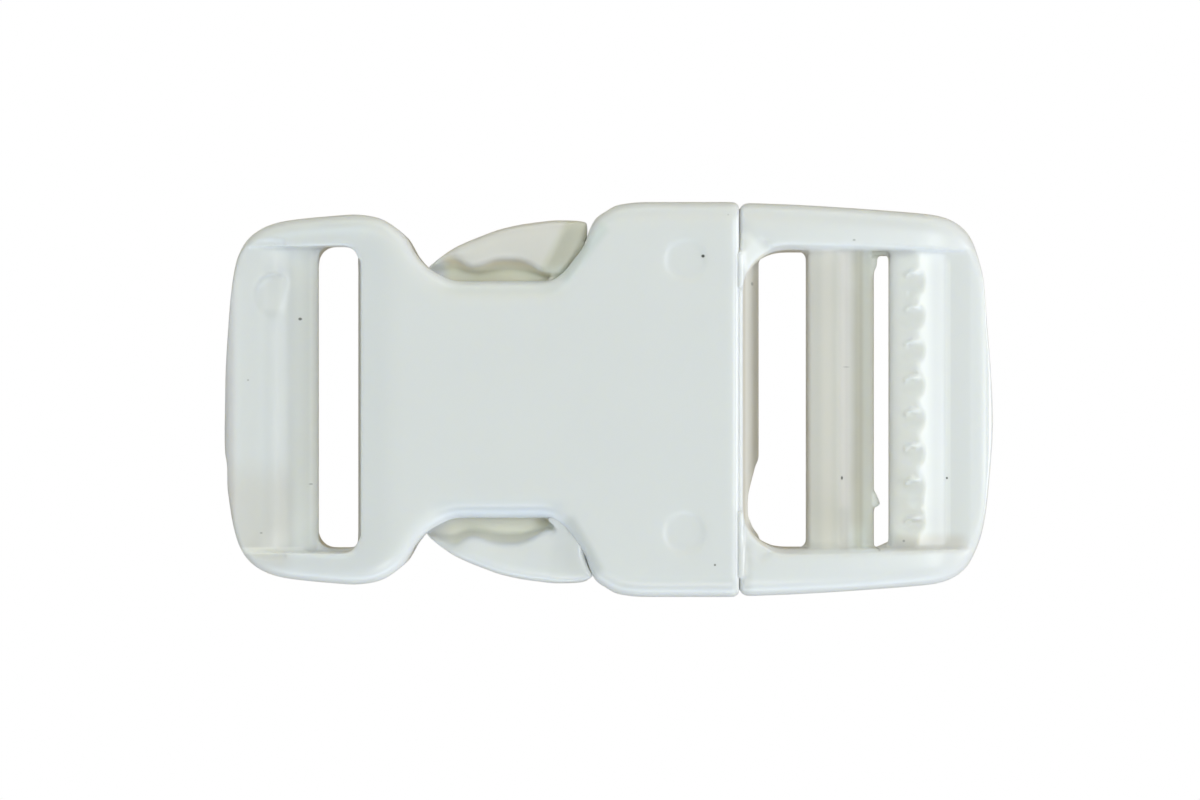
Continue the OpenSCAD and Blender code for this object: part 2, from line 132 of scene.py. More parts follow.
def block(outline, start, end, along="Z"):  # an outline drawn out along Z, or along Y for one in X and Z
    deselectAll()
    bpy.ops.mesh.primitive_circle_add(vertices=len(outline), radius=mm(1), fill_type="NGON", location=(0, 0, 0))
    thing = bpy.context.object
    for corner, (u, v) in zip(thing.data.vertices, outline):
        corner.co = mm(u, v, start) if along == "Z" else mm(u, start, v)
    reach = (0, 0, mm(end - start)) if along == "Z" else (0, mm(end - start), 0)
    bpy.ops.object.mode_set(mode="EDIT")
    bpy.ops.mesh.select_all(action="SELECT")
    bpy.ops.mesh.extrude_region_move(TRANSFORM_OT_translate={"value": reach})
    bpy.ops.mesh.select_all(action="SELECT")
    bpy.ops.mesh.normals_make_consistent(inside=False)
    bpy.ops.object.mode_set(mode="OBJECT")
    return thing


def roundedPlan(x0, x1, half, r0, r1, steps=8):  # a slot's plan, with one rounding at either end
    plan = []
    for x, y, r, first in ((x1 - r1, half - r1, r1, 0), (x0 + r0, half - r0, r0, 90),
                           (x0 + r0, r0 - half, r0, 180), (x1 - r1, r1 - half, r1, 270)):
        for step in range(steps + 1):
            turn = math.radians(first + step * 90 / steps)
            plan.append((x + r * math.cos(turn), y + r * math.sin(turn)))
    return plan


def flare(thing, top, factor):  # widens what lies over the height top, across the webbing
    selectParts(thing, "VERT", lambda corner: corner.co.z > mm(top))
    bpy.ops.transform.resize(value=(1, factor, 1), center_override=(0, 0, 0))
    bpy.ops.object.mode_set(mode="OBJECT")


def plane(place, heading, fall, size):  # a block whose underside leans: it planes off what stands over it
    deselectAll()
    bpy.ops.mesh.primitive_cube_add(size=mm(2), location=(0, 0, mm(1)))
    tool = bpy.context.object
    applyPlace(tool)
    tool.scale = (size[0], size[1], 1)
    tool.rotation_euler = (0, math.radians(fall), math.radians(heading))
    tool.location = mm(*place)
    applyPlace(tool)
    return tool


def trimEnd(piece, edge, far):  # cuts the end of a half to its outline as seen, out to the X given as far
    corners = edge + [(far, edge[-1][1]), (far, edge[0][1])]
    combine(piece, block(corners, under, over), "DIFFERENCE")


def ramp(value, low, high):
    return min(max((value - low) / (high - low), 0), 1)


def triangleCount(piece):
    return sum(len(face.vertices) - 2 for face in piece.data.polygons)


def smoothing(piece, passes):
    smooth = piece.modifiers.new("soften", "SMOOTH")
    smooth.factor = 0.5
    smooth.iterations = max(1, passes // shorter)
    return smooth


def softenWhere(piece, weight, passes, steps=8):  # smooths further where weight reads more than nothing, in mm
    group = piece.vertex_groups.new(name="soft")
    shelves = [[] for step in range(steps + 1)]
    for vertex in piece.data.vertices:
        x, y, z = (part * 1000 for part in vertex.co)
        shelves[round(weight(x, y, z) * steps)].append(vertex.index)
    for step in range(1, steps + 1):
        if shelves[step]:
            group.add(shelves[step], step / steps, "REPLACE")
    smoothing(piece, passes).vertex_group = "soft"
    applyAll(piece)
    piece.vertex_groups.clear()


def mouldedSkin(piece, detail, weight):  # melts the sharp solid into one moulded skin
    remesh = piece.modifiers.new("melt", "REMESH")
    remesh.mode = "VOXEL"
    remesh.voxel_size = mm(detail["voxel"] * coarser)
    smoothing(piece, detail["passes"])
    applyAll(piece)
    softenWhere(piece, weight, detail["softer"])
    count = triangleCount(piece)
    if count > detail["triangles"]:
        thin = piece.modifiers.new("thin", "DECIMATE")
        thin.ratio = detail["triangles"] / count
        applyAll(piece)
    bpy.ops.object.shade_smooth()
    print(piece.name, "has", triangleCount(piece), "triangles")


# Shader node groups that both plastics share

def newGroup(name, inputs, outputs):
    group = bpy.data.node_groups.new(name, "ShaderNodeTree")
    for label, kind, value in inputs:
        socket = group.interface.new_socket(label, in_out="INPUT", socket_type="NodeSocket" + kind)
        if value is not None:
            socket.default_value = value
    for label, kind in outputs:
        group.interface.new_socket(label, in_out="OUTPUT", socket_type="NodeSocket" + kind)
    return group, group.nodes.new("NodeGroupInput"), group.nodes.new("NodeGroupOutput")


def addNode(tree, kind, feeds=None, **settings):  # feeds: input name or number -> value or output socket
    node = tree.nodes.new("ShaderNode" + kind)
    for key, value in settings.items():
        setattr(node, key, value)
    for key, value in (feeds or {}).items():
        if isinstance(value, bpy.types.NodeSocket):
            tree.links.new(value, node.inputs[key])
        else:
            node.inputs[key].default_value = value
    return node


def addMath(tree, operation, first, second):
    return addNode(tree, "Math", {0: first, 1: second}, operation=operation).outputs[0]


def addVectorMath(tree, operation, first, second):
    return addNode(tree, "VectorMath", {0: first, 1: second}, operation=operation).outputs[0]


def mixColour(tree, share, first, second, how="MIX"):
    # a colour mix has its colours at inputs 6 and 7, and its result at output 2
    return addNode(tree, "Mix", {0: share, 6: first, 7: second}, data_type="RGBA", blend_type=how).outputs[2]


def buildMouldedGrain():  # fine spark texture of the mould, with slow unevenness under it
    group, start, end = newGroup("mouldedGrain",
                                 [("Vector", "Vector", None), ("Fineness", "Float", 2600),
                                  ("Slow", "Float", 220)],
                                 [("Height", "Float")])
    fine = addNode(group, "TexNoise", {"Vector": start.outputs["Vector"], "Scale": start.outputs["Fineness"],
                                       "Detail": 2.0, "Roughness": 0.5})
    slow = addNode(group, "TexNoise", {"Vector": start.outputs["Vector"], "Scale": start.outputs["Slow"],
                                       "Detail": 2.0, "Roughness": 0.4})
    share = addMath(group, "MULTIPLY", fine.outputs["Fac"], 0.35)  # the fine texture counts for less
    total = addMath(group, "ADD", share, slow.outputs["Fac"])
    group.links.new(total, end.inputs["Height"])
    return group


def buildFlowMottle():  # faint cloudiness that the melt leaves in the plastic
    group, start, end = newGroup("flowMottle",
                                 [("Vector", "Vector", None), ("Scale", "Float", 90), ("Spread", "Float", 0.2)],
                                 [("Fac", "Float")])
    wide = addNode(group, "TexNoise", {"Vector": start.outputs["Vector"], "Scale": start.outputs["Scale"],
                                       "Detail": 2.0})
    centred = addMath(group, "SUBTRACT", wide.outputs["Fac"], 0.5)
    spread = addMath(group, "MULTIPLY", centred, start.outputs["Spread"])
    moved = addMath(group, "ADD", spread, 0.5)
    group.links.new(moved, end.inputs["Fac"])
    return group


def buildSpeck():  # one dark speck or scuff of dirt at a given place
    group, start, end = newGroup("speck",
                                 [("Vector", "Vector", None), ("Centre", "Vector", None),
                                  ("Sizes", "Vector", None)],
                                 [("Mask", "Float")])
    offset = addVectorMath(group, "SUBTRACT", start.outputs["Vector"], start.outputs["Centre"])
    share = addVectorMath(group, "DIVIDE", offset, start.outputs["Sizes"])
    distance = addNode(group, "VectorMath", {0: share}, operation="LENGTH")
    fade = addNode(group, "MapRange", {"Value": distance.outputs["Value"], "From Min": 0.5, "From Max": 1.3,
                                       "To Min": 1.0, "To Max": 0.0}, interpolation_type="SMOOTHSTEP")
    group.links.new(fade.outputs["Result"], end.inputs["Mask"])
    return group


def buildPaintedLightZone():  # a turned block with blurred sides: the mask where light and shade are painted into the plastic's colour, and where its gloss is dulled
    group, start, end = newGroup("paintedLightZone",
                                 [("Vector", "Vector", None), ("Centre", "Vector", None),
                                  ("Half", "Vector", None), ("Blur", "Vector", None), ("Turn", "Float", 0)],
                                 [("Mask", "Float")])
    offset = addVectorMath(group, "SUBTRACT", start.outputs["Vector"], start.outputs["Centre"])
    turned = addNode(group, "VectorRotate", {"Vector": offset, "Angle": start.outputs["Turn"]},
                     rotation_type="Z_AXIS")
    plain = addNode(group, "VectorMath", {0: turned.outputs[0]}, operation="ABSOLUTE")
    inside = addVectorMath(group, "SUBTRACT", start.outputs["Half"], plain.outputs[0])
    share = addVectorMath(group, "DIVIDE", inside, start.outputs["Blur"])
    parts = addNode(group, "SeparateXYZ", {0: share})
    mask = None
    for axis in ("X", "Y", "Z"):
        fade = addNode(group, "MapRange", {"Value": parts.outputs[axis], "From Min": -0.5, "From Max": 0.5},
                       interpolation_type="SMOOTHSTEP").outputs["Result"]
        mask = fade if mask is None else addMath(group, "MULTIPLY", mask, fade)
    group.links.new(mask, end.inputs["Mask"])
    return group


mouldedGrain = buildMouldedGrain()
flowMottle = buildFlowMottle()
speck = buildSpeck()
paintedLightZone = buildPaintedLightZone()


# White acetal, with each half's own painted light and shade, duller patches and specks

acetalLook = {
    "light": (0.84, 0.85, 0.87),
    "shade": (0.82, 0.83, 0.85),
    "dirt": (0.06, 0.06, 0.05),
    "mottleScale": 120,
    "mottleSpread": 0.5,
    "mottleRange": (0.4, 0.6),  # the mottle's values that take the gloss from its lower to its upper figure
    "gloss": (0.28, 0.32),
    "fineness": 3200,
    "slow": 260,
    "bump": 0.25,
    "depth": 0.02,
    "ior": 1.48,
    "subsurface": 0.5,
    "soak": 1.2,  # how deep light soaks in, in mm, and each colour's share of it
    "soakShares": (1.0, 0.95, 0.75),
}


def newMaterial(name):
    material = bpy.data.materials.new(name)
    material.use_nodes = True
    material.node_tree.nodes.clear()
    return material, material.node_tree


def paintLightAndShade(tree, place, colour, dull, paintedLightZones):  # each zone paints light or shade into the colour it covers (a factor over one lightens, under one darkens), and dulls the gloss where one is given
    for centre, half, blur, turn, paintedLightFactor, gloss in paintedLightZones:
        mask = addNode(tree, "Group", {"Vector": place, "Centre": mm(*centre), "Half": mm(*half),
                                       "Blur": mm(*blur), "Turn": math.radians(-turn)},
                       node_tree=paintedLightZone).outputs["Mask"]
        if gloss:
            dull = addNode(tree, "Mix", {0: mask, 2: dull, 3: gloss}, data_type="FLOAT").outputs[0]
        colour = mixColour(tree, mask, colour, (*paintedLightFactor, 1), "MULTIPLY")
    return colour, dull


def addSpecks(tree, place, colour, specks):
    for centre, sizes, strength in specks:
        mask = addNode(tree, "Group", {"Vector": place, "Centre": mm(*centre), "Sizes": mm(*sizes)},
                       node_tree=speck).outputs["Mask"]
        share = addMath(tree, "MULTIPLY", mask, strength)
        colour = mixColour(tree, share, colour, (*acetalLook["dirt"], 1))
    return colour


def acetal(name, paintedLightZones, specks):
    look = acetalLook
    material, tree = newMaterial(name)
    place = addNode(tree, "TexCoord").outputs["Object"]
    mottle = addNode(tree, "Group", {"Vector": place, "Scale": look["mottleScale"],
                                     "Spread": look["mottleSpread"]}, node_tree=flowMottle).outputs["Fac"]
    colour = mixColour(tree, mottle, (*look["shade"], 1), (*look["light"], 1))
    (low, high), (glossLow, glossHigh) = look["mottleRange"], look["gloss"]
    dull = addNode(tree, "MapRange", {"Value": mottle, "From Min": low, "From Max": high,
                                      "To Min": glossLow, "To Max": glossHigh}).outputs["Result"]
    # paints light and shade into the colour, zone by zone, and dulls the gloss in some
    colour, dull = paintLightAndShade(tree, place, colour, dull, paintedLightZones)
    colour = addSpecks(tree, place, colour, specks)
    grain = addNode(tree, "Group", {"Vector": place, "Fineness": look["fineness"], "Slow": look["slow"]},
                    node_tree=mouldedGrain)
    bump = addNode(tree, "Bump", {"Strength": look["bump"], "Distance": mm(look["depth"]),
                                  "Height": grain.outputs["Height"]})
    shader = addNode(tree, "BsdfPrincipled", {
        "Base Color": colour, "Roughness": dull, "Normal": bump.outputs["Normal"], "IOR": look["ior"],
        "Subsurface Weight": look["subsurface"], "Subsurface Scale": mm(look["soak"]),
        "Subsurface Radius": look["soakShares"]})
    addNode(tree, "OutputMaterial", {"Surface": shader.outputs["BSDF"]})
    return material


# Socket: the half with the web slot, the two plates and the mouth

socketDetail = {
    "topSurface": 10.4,
    "pin": (1.78, 1.0, 0.03),  # an ejector pin's radius, height and rim
    "pinMarks": [(6.51, 11.94), (6.42, -11.42)],  # its marks on the top plate
    "pinDepth": 0.09,
    "barMark": ((-28.95, 9.02, 7.285), (-4.5, 11, 0)),  # its mark on the web bar, and how that slants
    "slotRidge": [(-21.275, 9.8), (-21.82, 5.2), (-21.275, 0.6)],  # X and Z of what stands on the slot's wall
    "slotBevel": [(-21.675, 6.864), (-21.25, 10.7), (-21.675, 10.7)],  # and of what its upper edge loses
    "slotReach": 12.1,
    "slotPlan": (-25.47, -21.85, 13.16, 1.45, 0.75),  # the slot's ends as seen: walls, half-length, roundings
    "slotShift": 0.21,
    "slotFiller": (1.6, 0.5, 0.3),  # how far what rounds an end reaches in, out and along
    "slotHeights": (0.5, 5.0, 6.0),  # its foot and top, and the top of what is cut there
    "slotCutStart": -25.2,
    "railFillets": [(-30.1, 13.42, 8.95), (-30.1, -13.42, 8.95)],
    "filletSizes": (2.5, 0.5, 0.9),
    "loopEnd": [(-28.9, 15.5), (-30.1, 14.9), (-30.85, 14.37), (-31.38, 13.85), (-31.75, 13.33),
                (-32.02, 12.81), (-32.2, 12.29), (-32.4, 11.3), (-32.6, 9.8), (-32.78, 8.2), (-32.95, 6.0),
                (-33.1, 4.0), (-33.2, 2.0), (-33.25, -0.2), (-33.3, -2.3), (-33.3, -4.5), (-33.12, -5.2),
                (-33.02, -5.9), (-33.02, -8.2), (-32.94, -9.4)],
    "voxel": 0.15,
    "passes": 10,
    "softer": 50,
    "triangles": 185000,
    "soft": {  # where the smoothing goes further: from none at the first figure of a pair to all at the second
        "loopInside": (-20.4, 12.8),  # the web bar lies left of this X and between these sides
        "barRight": (-25.8, -26.6),
        "barLeft": (-32.6, -31.8),
        "barSides": (12.3, 11.5),
        "barHeight": (5, 6),
        "barMark": (2.3, 0.9, 2.1),  # the bar's mark stays crisp in a crescent: radius, offset and inner radius
        "pinMark": 2.6,
        "plateHeight": (8.9, 9.7),
        "mouth": (9.6, 10.4),
        "mouthLoss": 0.7,
    },
    "paintedLightZones": [  # centre, half sizes, blur, turn, painted light or shade factor and gloss: patches of light and shade painted into the colour
        # painted shade on the loop's end, a duller end, and painted light on the inner wall of its lower rail
        ((-33.2, 0, 5), (0.9, 12, 6), (0.8, 2, 2), 0, (0.95, 0.92, 0.92), None),
        ((-32.2, 0, 6), (1.7, 13, 5), (0.7, 2, 1), 0, (1, 1, 1), 0.6),
        ((-27.5, -13.05, 8), (6, 0.3, 1.8), (1, 0.2, 0.5), 0, (1.16, 1.16, 1.15), None),
        # painted shade on the web bar's lower part and crown, painted light over its mark and towards the slot,
        # and a painted shadow line down the slot's wall
        ((-30.5, -10.4, 7), (2.9, 4.2, 3), (1.6, 4, 2), 0, (0.935, 0.91, 0.875), None),
        ((-29.1, 0, 6.5), (0.7, 11.5, 3), (0.9, 2, 1), 0, (0.935, 0.935, 0.935), None),
        ((-29.0, 9.1, 7.3), (0.9, 1.5, 0.7), (0.8, 1.0, 0.5), 0, (1.12, 1.12, 1.12), None),
        ((-26.2, 0, 6), (1.2, 13, 4), (1.2, 0.6, 1), 0, (1.1, 1.1, 1.08), None),
        ((-25.6, 0, 5.5), (0.35, 12.6, 2.5), (0.5, 1, 1), 0, (1.12, 1.12, 1.12), None),
        ((-21.7, 0, 5), (0.33, 12.9, 4.3), (0.1, 0.6, 0.6), 0, (0.68, 0.7, 0.68), None),
        # painted shade along the waist's edges, the shoulders and the mouth's lower edge
        ((-9.4, -9.45, 10), (4.8, 0.65, 1), (3, 1.1, 0.5), 0, (0.865, 0.89, 0.93), None),
        ((-9.4, 9.4, 10), (4.8, 0.5, 1), (3, 1.4, 0.5), 0, (0.945, 0.95, 0.92), None),
        ((-2.35, -12.6, 9.8), (2.7, 0.65, 1.4), (0.9, 0.8, 0.6), -61, (0.85, 0.86, 0.85), None),
        ((-2.2, 12.6, 9.8), (2.9, 0.5, 1.4), (0.8, 0.7, 0.6), 52, (0.9, 0.93, 0.91), None),
        ((6, -15.9, 10), (5.2, 0.45, 1), (1.5, 0.6, 0.6), 0, (0.94, 0.94, 0.94), None),
    ],
    "specks": [  # place, sizes and strength
        ((8.01, 12.3, 10.4), (0.16, 0.14, 0.3), 1.0),
        ((9.03, -14.18, 10.4), (0.1, 0.1, 0.3), 0.7),
        ((10.17, 15.85, 9.8), (0.12, 0.12, 0.6), 0.35),
        ((-26.77, 6.97, 6.6), (0.17, 0.13, 0.8), 0.85),
        ((-31.18, 1.68, 7.8), (0.1, 0.07, 0.4), 0.35),
        ((-25.89, -7.33, 5.5), (0.2, 0.07, 0.9), 0.35),
        ((-30.05, -11.51, 7.9), (0.14, 0.09, 0.4), 0.4),
    ],
}


def pressMarks(piece):  # the ejector marks: two on the top plate and a faint one on the web bar
    pin = socketDetail["pin"]
    floor = socketDetail["topSurface"] - socketDetail["pinDepth"]
    for x, y in socketDetail["pinMarks"]:
        combine(piece, roundedPuck((x, y, floor), *pin), "DIFFERENCE")
    foot, slant = socketDetail["barMark"]
    combine(piece, roundedPuck(foot, *pin, slant), "DIFFERENCE")


def shapeSlotWall(piece):  # the mould's draft on the slot's wall: narrowest at half height
    reach = socketDetail["slotReach"]
    combine(piece, block(socketDetail["slotRidge"], -reach, reach, "Y"), "UNION")
    combine(piece, block(socketDetail["slotBevel"], -reach, reach, "Y"), "DIFFERENCE")


def shapeSlotEnds(piece):  # rounder ends, a little off the middle
    x0, x1, half, r0, r1 = socketDetail["slotPlan"]
    low, high, cutHigh = socketDetail["slotHeights"]
    inward, outward, beside = socketDetail["slotFiller"]
    plan = [(x, y + socketDetail["slotShift"]) for x, y in roundedPlan(x0, x1, half, r0, r1)]
    for side in (-1, 1):
        inner, outer = side * (half - inward), side * (half + outward)
        filler = block([(x0 - beside, inner), (x1 + beside, inner), (x1 + beside, outer), (x0 - beside, outer)],
                       low, high)
        combine(filler, block(plan, under, over), "DIFFERENCE")
        combine(piece, filler, "UNION")
    cut = [(max(x, socketDetail["slotCutStart"]), y) for x, y in plan]
    combine(piece, block(cut, under, cutHigh), "DIFFERENCE")


def barSoftness(x, y, z):  # the web bar's crown, but not the crescent of its mark
    soft = socketDetail["soft"]
    u, v = socketDetail["barMark"][0][:2]
    radius, offset, inner = soft["barMark"]
    if math.hypot(x - u, y - v) < radius and math.hypot(x - u - offset, y - v + offset) > inner:
        return 0
    return (ramp(x, *soft["barRight"]) * ramp(x, *soft["barLeft"]) * ramp(abs(y), *soft["barSides"])
            * ramp(z, *soft["barHeight"]))


def socketSoftness(x, y, z):  # the plates' upper edges, but not the slot's wall, the ejector marks or the mouth
    soft = socketDetail["soft"]
    right, side = soft["loopInside"]
    if x < right and abs(y) < side:
        return barSoftness(x, y, z)
    if min(math.hypot(x - u, y - v) for u, v in socketDetail["pinMarks"]) < soft["pinMark"]:
        return 0
    return ramp(z, *soft["plateHeight"]) * (1 - soft["mouthLoss"] * ramp(x, *soft["mouth"]))


def buildSocket():
    piece = mergedCopy("socket", "socketShell")
    pressMarks(piece)
    shapeSlotWall(piece)
    shapeSlotEnds(piece)
    trimEnd(piece, socketDetail["loopEnd"], -away)
    for place in socketDetail["railFillets"]:
        combine(piece, pebble(place, socketDetail["filletSizes"]), "DIFFERENCE")
    mouldedSkin(piece, socketDetail, socketSoftness)
    piece.data.materials.append(acetal("socketAcetal", socketDetail["paintedLightZones"], socketDetail["specks"]))
    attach(piece, "root")
    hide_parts("socket")


# Plug: the half with the frame, the two bars and the sprung arms

plugDetail = {
    "collar": (11.14, 11.7),  # the shoulder in the mouth's seam, along X
    "collarHalf": 16.4,
    "collarHeights": (0.95, 9.45),
    "collarSoft": 0.9,
    "opening": (11.43, 28.0, 12.88, 3.85, 0.5),  # plan of the frame's opening: its ends, half-width, roundings
    "flareHeights": (8.3, 10.8),
    "flareFactor": 1.058,
    "gussets": [((12.1, 12.55, 9.75), -45), ((12.1, -12.55, 9.75), 45)],  # each planed corner's place and heading
    "gussetFall": 18,
    "gussetSize": (3.0, 1.7),
    "crown": [(16.9, 7.75), (20.3, 8.26), (20.3, 9.2), (16.9, 9.2)],  # X and Z of what the middle bar loses
    "crownReach": 12.86,
    "leanCut": [(13.2, -4.6), (12.95, -5.2), (12.65, -5.8), (12.3, -7.0), (12.0, -8.1), (11.85, -9.2),
                (11.96, -10.05), (12.4, -11.08), (13.09, -11.95), (14.3, -12.85), (14.3, -4.6)],
    "leanCutTop": 9,
    "seamFill": [  # closes the seam over the leaning bar and beside the opening's corners: outline and ends
        ([(10.5, 9.8), (11.29, 9.8), (12.0, 7.73), (11.3, 7.73), (10.5, 9.2)], -12.7, 12.7),
        ([(10.9, 10.22), (11.5, 10.22), (11.5, 9.3), (10.9, 9.3)], 9.6, 12.7),
        ([(10.9, 10.22), (11.5, 10.22), (11.5, 9.3), (10.9, 9.3)], -15.3, -9.6),
    ],
    "flash": [  # thin plastic left in the narrow slot: outline and heights
        ([(22.8, 12.9), (23.33, 12.9), (23.3, 12.0), (23.27, 11.55), (23.1, 11.3), (22.95, 10.8),
          (22.8, 10.8)], 3, 4.3),
        ([(22.85, -8.0), (23.2, -8.1), (23.62, -9.08), (23.5, -9.27), (22.85, -9.4)], 3, 4.1),
        ([(22.8, 13.1), (22.8, 12.54), (24.5, 12.54), (24.5, 13.1)], 2, 5),
        ([(22.8, -13.1), (22.8, -13.0), (23.35, -12.9), (24.6, -12.3), (24.6, -13.1)], 2, 5),
    ],
    "frameEnd": [(31.6, 13.4), (31.93, 12.28), (32.2, 11.24), (32.39, 10.2), (32.48, 9.14), (32.63, 7.07),
                 (32.80, 4.99), (32.98, 2.91), (33.12, 0.9), (33.22, -1.77), (33.18, -3.2), (33.12, -4.6),
                 (33.14, -5.6)],
    "toothLips": (10.95, 7.98, 4.96, 1.86, -0.99, -4.0, -6.94, -10.3),  # bright lips over the grip pockets
    "lipParts": [((25.72, -0.14, 7.22), (0.37, 0.22, 0.34), 48), ((26.3, 0.06, 7.66), (0.58, 0.21, 0.34), 4)],
    "padFills": [  # close the gaps between a pad's end and the plates: outline and heights
        ([(-5.9, 9.6), (-5.5, 10.25), (-4.8, 10.8), (-4.0, 11.4), (-3.2, 12.0), (-2.8, 12.8), (-2.4, 13.3),
          (-1.7, 13.3), (-1.5, 12.0), (-1.5, 9.6)], 2.6, 9.1),
        ([(-6.5, -15.2), (-4.25, -15.76), (-2.88, -15.72), (-2.02, -15.56), (-1.55, -15.36), (-1.4, -15.18),
          (-1.75, -14.5), (-2.15, -13.3), (-2.2, -12.4), (-2.9, -11.2), (-3.6, -10.4), (-4.9, -9.6),
          (-5.4, -10.3), (-4.9, -10.75), (-4.5, -11.3), (-5.5, -12.5)], 0.9, 9.57),
    ],
    "padFall": ((-3.2, 12.3, 8.55), -26, 8, (12, 12)),  # the slope that planes off the upper pad's fill
    "dents": [((25.95, -8.72, 8.1), (1.12, 1.15, 0.75)), ((25.85, 9.25, 7.62), (0.32, 0.62, 0.45))],
    "voxel": 0.15,
    "passes": 10,
    "softer": 50,
    "triangles": 185000,
    "soft": {  # as for the socket: the frame's outer upper edges and the pads' upper edges
        "frameStart": 11.6,
        "frameHeight": (8.6, 9.4),
        "frameSides": (13.9, 14.7),
        "padHeight": (7.8, 8.6),
        "padSides": (12.0, 13.0),
        "padRight": (-1, -2),
    },
    # painted light and shade, laid out as for the socket
    "paintedLightZones": [
        # painted shade on the leaning bar and over its crest, with a duller gloss, and a painted highlight on the
        # opening's upper corner
        ((12.3, 0, 5), (1.2, 13, 4.3), (0.4, 0.5, 0.5), 0, (0.94, 0.895, 0.8), 0.6),
        ((11.46, 0, 8.4), (0.22, 12.3, 1.0), (0.25, 0.6, 0.3), 0, (0.86, 0.83, 0.79), 0.7),
        ((12.1, 12.4, 10), (1.2, 1.8, 1.5), (0.8, 0.8, 0.8), 45, (1.13, 1.13, 1.12), None),
        # the middle bar: painted shade over its top and crest, and painted highlights along its crown and its
        # right edge
        ((19.4, 0, 7), (2.6, 12.9, 3), (0.5, 0.4, 1), 0, (0.9, 0.87, 0.82), 0.6),
        ((22.4, 0, 7), (1.3, 12.9, 4), (0.8, 0.4, 1), 0, (1.0, 1.0, 0.95), 0.6),
        ((18.75, 0, 8), (0.45, 12.9, 1.5), (0.7, 0.4, 1), 0, (1.09, 1.08, 1.07), None),
        ((20.2, 0, 8), (0.4, 12.9, 1.5), (0.4, 0.4, 1), 0, (0.88, 0.87, 0.86), 0.8),
        ((21.2, 0, 7), (0.55, 12.9, 1.5), (0.4, 0.4, 1), 0, (0.93, 0.93, 0.91), None),
        ((21.6, 0, 7), (0.12, 12.9, 1.5), (0.4, 0.4, 1), 0, (1.12, 1.12, 1.12), None),
        ((22.6, 0, 6), (0.7, 12.9, 3), (0.5, 0.4, 1), 0, (1.06, 1.06, 1.05), None),
        # painted shade and light at its lower end, and painted shade on the plastic left at the narrow slot's
        # upper end
        ((19.8, -11.2, 7), (3.4, 2.4, 3), (0.4, 2, 1), 0, (0.98, 0.985, 0.975), None),
        ((20.3, -10.95, 8), (0.5, 1.6, 1.5), (0.7, 1, 1), 0, (0.9, 0.91, 0.91), None),
        ((21.8, -12.3, 7), (1.1, 1.3, 2), (0.6, 1.8, 1), 0, (1.13, 1.16, 1.2), None),
        ((23.7, 12.9, 4), (0.9, 0.6, 2), (0.2, 0.2, 0.5), 0, (0.8, 0.79, 0.75), None),
        # painted light on the toothed bar, a painted highlight strip beyond it, and painted shade at the foot of
        # the lower rail
        ((26.2, 0, 7), (1.4, 12.4, 3), (1.2, 1, 1), 0, (1.15, 1.15, 1.13), None),
        ((29.25, 0, 7.2), (0.22, 12, 1), (0.15, 1, 1), 0, (1.1, 1.1, 1.1), None),
        ((27.6, -12.4, 7.5), (3.0, 0.7, 2), (1.4, 0.9, 1), 0, (0.89, 0.86, 0.82), None),
        # the pads: painted light in their recesses, painted shade on the upper one's face, its falling end and
        # the lower one's end
        ((-9.6, 10.8, 6.4), (4.5, 1.6, 2.6), (1.2, 0.4, 0.8), 0, (1.12, 1.07, 0.91), None),
        ((-9.3, -10.8, 6.4), (4.7, 1.6, 2.6), (1.6, 0.4, 0.8), 0, (1.12, 1.1, 1.0), None),
        ((-9, 13.9, 9.5), (8, 2.4, 1.2), (1, 0.9, 0.8), 0, (0.965, 0.93, 0.89), None),
        ((-3.42, 12.79, 7), (1.5, 2.8, 4), (0.7, 0.8, 1), -28, (0.88, 0.885, 0.8), 0.5),
        ((-3.4, -14.2, 9.6), (1.7, 1.7, 1), (1, 1, 0.6), 0, (0.97, 0.97, 0.97), None),
        # painted shade on the frame's lower corner beside the seam
        ((11.65, -14.5, 9.8), (0.5, 2.3, 1.2), (0.8, 1.2, 0.5), 0, (0.89, 0.885, 0.86), None),
    ],
    "specks": [
        ((21.01, 13.71, 9.3), (0.16, 0.11, 0.4), 0.4),
        ((20.04, -6.76, 8.1), (0.1, 0.17, 0.5), 0.9),
        ((29.15, -6.78, 7.2), (0.1, 0.1, 0.5), 1.0),
        ((23.24, -12.98, 6.0), (0.17, 0.15, 3.0), 0.5),
        ((25.43, -12.22, 7.3), (0.12, 0.12, 0.6), 0.4),
        ((12.25, 10.0, 6.5), (0.2, 0.2, 0.6), 0.5),
        ((20.56, 2.81, 7.9), (0.45, 0.06, 0.8), 0.35),
        ((20.91, -7.97, 7.9), (0.3, 0.06, 0.8), 0.3),
    ],
}


def runsAlongX(mesh, edge):
    a, b = (mesh.vertices[end].co for end in edge.vertices)
    return abs(a.x - b.x) > mm(0.1)


def addCollar(piece):  # closes the seam a little under the surface
    x0, x1 = plugDetail["collar"]
    low, high = plugDetail["collarHeights"]
    deselectAll()
    bpy.ops.mesh.primitive_cube_add(size=mm(1), location=mm((x0 + x1) / 2, 0, (low + high) / 2),
                                    scale=(x1 - x0, 2 * plugDetail["collarHalf"], high - low))
    collar = bpy.context.object
    applyPlace(collar)
    selectParts(collar, "EDGE", lambda edge: runsAlongX(collar.data, edge))
    bpy.ops.mesh.bevel(offset=mm(plugDetail["collarSoft"]), segments=4, affect="EDGES")
    bpy.ops.object.mode_set(mode="OBJECT")
    combine(piece, collar, "UNION")


def shapeOpening(piece):  # draft and planed corners of the frame's opening
    low, high = plugDetail["flareHeights"]
    draft = block(roundedPlan(*plugDetail["opening"]), low, high)
    flare(draft, (low + high) / 2, plugDetail["flareFactor"])
    combine(piece, draft, "DIFFERENCE")
    for place, heading in plugDetail["gussets"]:
        corner = plane(place, heading, plugDetail["gussetFall"], plugDetail["gussetSize"])
        combine(piece, corner, "DIFFERENCE")


